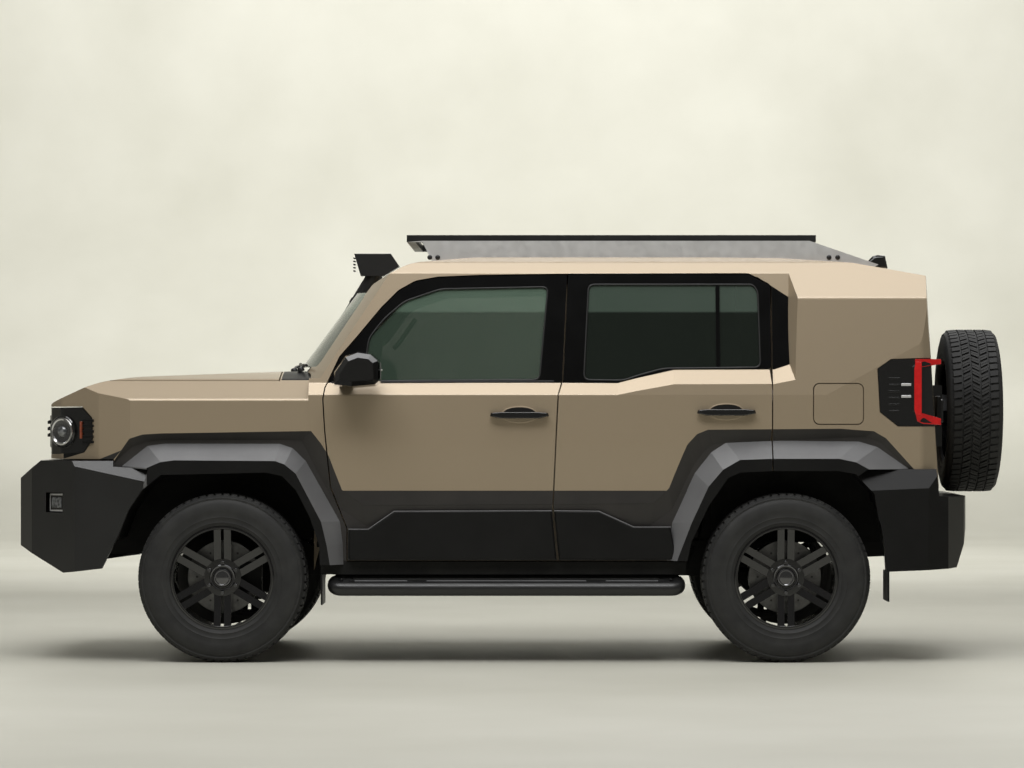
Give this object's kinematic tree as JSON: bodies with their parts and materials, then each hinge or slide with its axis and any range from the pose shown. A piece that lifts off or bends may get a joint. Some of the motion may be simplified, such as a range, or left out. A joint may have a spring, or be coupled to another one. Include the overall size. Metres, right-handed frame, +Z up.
{
  "type": "lifted off-road 4x4 car",
  "caption": "Boxy lifted 4x4 with side doors, side-hinged tailgate with spare wheel, roof rack, snorkel, side steps and faceted arch flares.",
  "frame": {"origin": "on the ground, at the middle of the overall length and width", "axes": "+X forward, +Y the vehicle's left, +Z up"},
  "size_m": [4.606, 2.18, 1.967],
  "materials": {
    "paint": "metallic gloss",
    "underbody": "matt",
    "black_plastic": "matt",
    "black_steel": "satin",
    "gloss_black": "gloss",
    "tyre": "matt",
    "glass": "tinted",
    "lamp_lens": "gloss",
    "seat_fabric": "matt"
  },
  "bodies": {
    "body": {"chassis_frame": "underbody", "body_shell": "paint", "roof_panel": "paint", "floor_pan": "underbody", "front_fenders": "paint", "cowl_panel": "black_plastic", "headlamps": "lamp_lens", "grille": "black_plastic", "front_bumper": "black_plastic", "rear_bumper": "black_plastic", "arch_flares": "black_plastic", "tail_lamps": "lamp_lens", "windscreen": "glass", "roof_rack": "black_steel", "snorkel": "black_plastic", "side_steps": "black_steel", "mud_flaps": "black_plastic", "engine": "underbody", "front_suspension": "underbody", "rear_axle": "underbody", "fuel_tank": "underbody", "front_seats": "seat_fabric", "rear_seat": "seat_fabric", "dashboard": "black_plastic", "steering_wheel": "seat_fabric"},
    "door_front_left": {"door_front_left": "paint", "glass_front_left": "glass", "mirror_left": "black_plastic"},
    "door_front_right": {"door_front_right": "paint", "glass_front_right": "glass", "mirror_right": "black_plastic"},
    "door_rear_left": {"door_rear_left": "paint", "glass_rear_left": "glass", "door_flare_left": "black_plastic"},
    "door_rear_right": {"door_rear_right": "paint", "glass_rear_right": "glass", "door_flare_right": "black_plastic"},
    "hood": {"hood": "paint"},
    "tailgate": {"tailgate": "paint", "tailgate_glass": "glass", "spare_carrier": "underbody", "spare_tyre": "tyre", "spare_rim": "gloss_black"},
    "fuel_flap": {"fuel_flap": "paint"},
    "knuckle_left": {"knuckle_left": "underbody"},
    "knuckle_right": {"knuckle_right": "underbody"},
    "wheel_front_left": {"tyre_front_left": "tyre", "rim_front_left": "gloss_black"},
    "wheel_front_right": {"tyre_front_right": "tyre", "rim_front_right": "gloss_black"},
    "wheel_rear_left": {"tyre_rear_left": "tyre", "rim_rear_left": "gloss_black"},
    "wheel_rear_right": {"tyre_rear_right": "tyre", "rim_rear_right": "gloss_black"}
  },
  "joints": [
    {"name": "steer_left", "type": "hinge", "parent": "body", "child": "knuckle_left", "pos_m": [1.335, 0.7, 0.3875], "axis": [0, 0, 1], "range_deg": [-33, 33]},
    {"name": "wheel_front_left_spin", "type": "hinge", "parent": "knuckle_left", "child": "wheel_front_left", "pos_m": [1.335, 0.78, 0.3875], "axis": [0, 1, 0], "continuous": true},
    {"name": "wheel_rear_left_spin", "type": "hinge", "parent": "body", "child": "wheel_rear_left", "pos_m": [-1.245, 0.78, 0.3875], "axis": [0, 1, 0], "continuous": true},
    {"name": "door_front_left_open", "type": "hinge", "parent": "body", "child": "door_front_left", "pos_m": [0.874, 0.892, 1], "axis": [0, 0, -1], "range_deg": [0, 65]},
    {"name": "door_rear_left_open", "type": "hinge", "parent": "body", "child": "door_rear_left", "pos_m": [-0.179, 0.892, 1], "axis": [0, 0, -1], "range_deg": [0, 65]},
    {"name": "steer_right", "type": "hinge", "parent": "body", "child": "knuckle_right", "pos_m": [1.335, -0.7, 0.3875], "axis": [0, 0, 1], "range_deg": [-33, 33]},
    {"name": "wheel_front_right_spin", "type": "hinge", "parent": "knuckle_right", "child": "wheel_front_right", "pos_m": [1.335, -0.78, 0.3875], "axis": [0, 1, 0], "continuous": true},
    {"name": "wheel_rear_right_spin", "type": "hinge", "parent": "body", "child": "wheel_rear_right", "pos_m": [-1.245, -0.78, 0.3875], "axis": [0, 1, 0], "continuous": true},
    {"name": "door_front_right_open", "type": "hinge", "parent": "body", "child": "door_front_right", "pos_m": [0.874, -0.892, 1], "axis": [0, 0, 1], "range_deg": [0, 65]},
    {"name": "door_rear_right_open", "type": "hinge", "parent": "body", "child": "door_rear_right", "pos_m": [-0.179, -0.892, 1], "axis": [0, 0, 1], "range_deg": [0, 65]},
    {"name": "hood_open", "type": "hinge", "parent": "body", "child": "hood", "pos_m": [1.093, 0, 1.325], "axis": [0, -1, 0], "range_deg": [0, 50]},
    {"name": "tailgate_open", "type": "hinge", "parent": "body", "child": "tailgate", "pos_m": [-1.948, -0.79, 1.15], "axis": [0, 0, 1], "range_deg": [0, 90]},
    {"name": "fuel_flap_open", "type": "hinge", "parent": "body", "child": "fuel_flap", "pos_m": [-1.369, 0.893, 1.183], "axis": [0, 0, -1], "range_deg": [0, 90]}
  ],
  "couplings": [
    {"joint": "steer_right", "follows": "steer_left", "ratio": 1}
  ]
}
